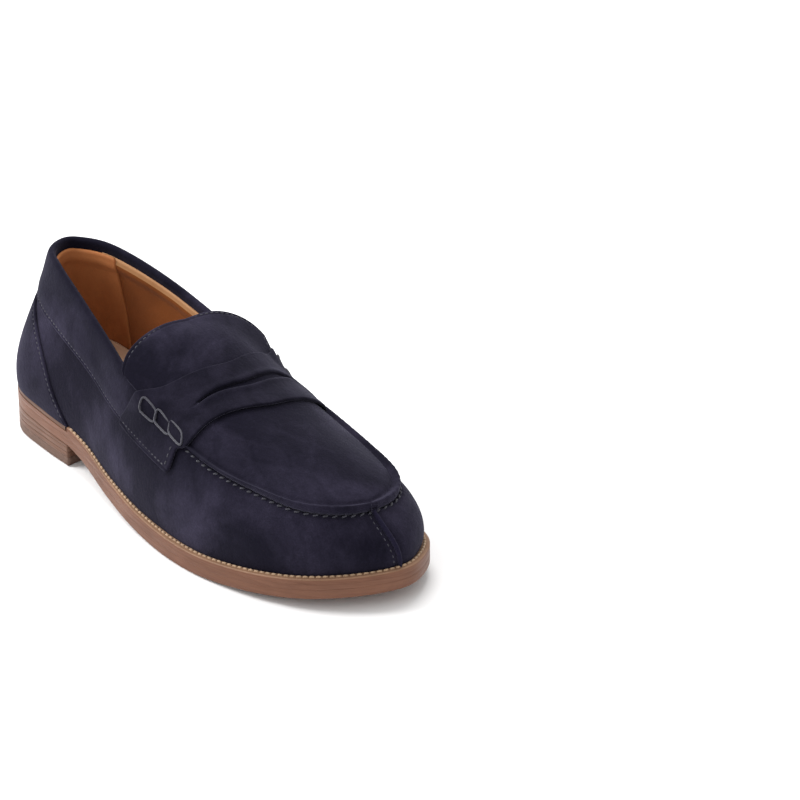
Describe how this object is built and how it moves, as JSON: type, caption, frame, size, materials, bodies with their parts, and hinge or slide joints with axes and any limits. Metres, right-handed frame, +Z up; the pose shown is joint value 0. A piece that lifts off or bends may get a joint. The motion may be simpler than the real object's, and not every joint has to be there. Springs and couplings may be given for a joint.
{
  "type": "penny loafer",
  "caption": "Right penny loafer with a split toe, saddle strap with a slit, rolled apron edge, leather lining, welted leather sole and stacked heel.",
  "frame": {"origin": "on the ground, under the middle of the shoe's bounding box", "axes": "+X from heel to toe, +Y towards the inner (medial) side of a right shoe, +Z up"},
  "size_m": [0.3037, 0.1128, 0.1025],
  "materials": {
    "navy_suede": "suede with a brushed nap, navy blue",
    "tan_lining_leather": "smooth undyed calf lining, satin",
    "brown_heel_grip_leather": "reversed lining leather, matt",
    "sock_leather": "smooth light tan leather",
    "sole_leather": "dyed and waxed sole edge",
    "stacked_heel_leather": "stacked leather, waxed edge",
    "welt_leather": "natural welt leather",
    "rand_leather": "dark brown rand leather",
    "top_piece_rubber": "matt dark brown rubber",
    "cork": "ground cork and binder",
    "insole_leather": "vegetable tanned shoulder",
    "pad_foam": "latex foam",
    "stiffener_board": "resin impregnated cloth",
    "interlining_cloth": "cotton twill",
    "spring_steel": "blued spring steel",
    "brass_pins": "drawn brass",
    "navy_thread": "waxed polyester thread",
    "saddle_cord": "waxed grey blue cord",
    "welt_thread": "waxed linen thread"
  },
  "bodies": {
    "root": {"outsole": "sole_leather", "midsole": "sole_leather", "welt": "welt_leather", "heel_rand": "rand_leather", "heel_wedge": "stacked_heel_leather", "heel_lift_upper": "stacked_heel_leather", "heel_lift_lower": "stacked_heel_leather", "top_piece": "top_piece_rubber", "heel_nails": "spring_steel", "top_piece_nails": "brass_pins", "cork_filler": "cork", "shank": "spring_steel", "insole": "insole_leather", "heel_pad": "pad_foam", "sock_liner": "sock_leather", "heel_counter": "stiffener_board", "toe_puff": "stiffener_board", "interlining_lateral": "interlining_cloth", "interlining_medial": "interlining_cloth", "side_wall_lateral": "navy_suede", "side_wall_medial": "navy_suede", "counter_cover": "navy_suede", "collar_band": "navy_suede", "apron": "navy_suede", "apron_lining": "tan_lining_leather", "vamp_lining": "tan_lining_leather", "quarter_lining_lateral": "tan_lining_leather", "quarter_lining_medial": "tan_lining_leather", "heel_grip": "brown_heel_grip_leather", "saddle_strap": "navy_suede", "toe_seam_strip": "navy_suede", "saddle_cord_lateral": "saddle_cord", "saddle_cord_medial": "saddle_cord", "welt_stitches": "welt_thread", "apron_stitches": "navy_thread", "collar_stitches": "navy_thread", "counter_stitches": "navy_thread", "tongue_stitches": "navy_thread", "saddle_stitches": "navy_thread", "toe_seam_stitches": "navy_thread"}
  },
  "joints": []
}
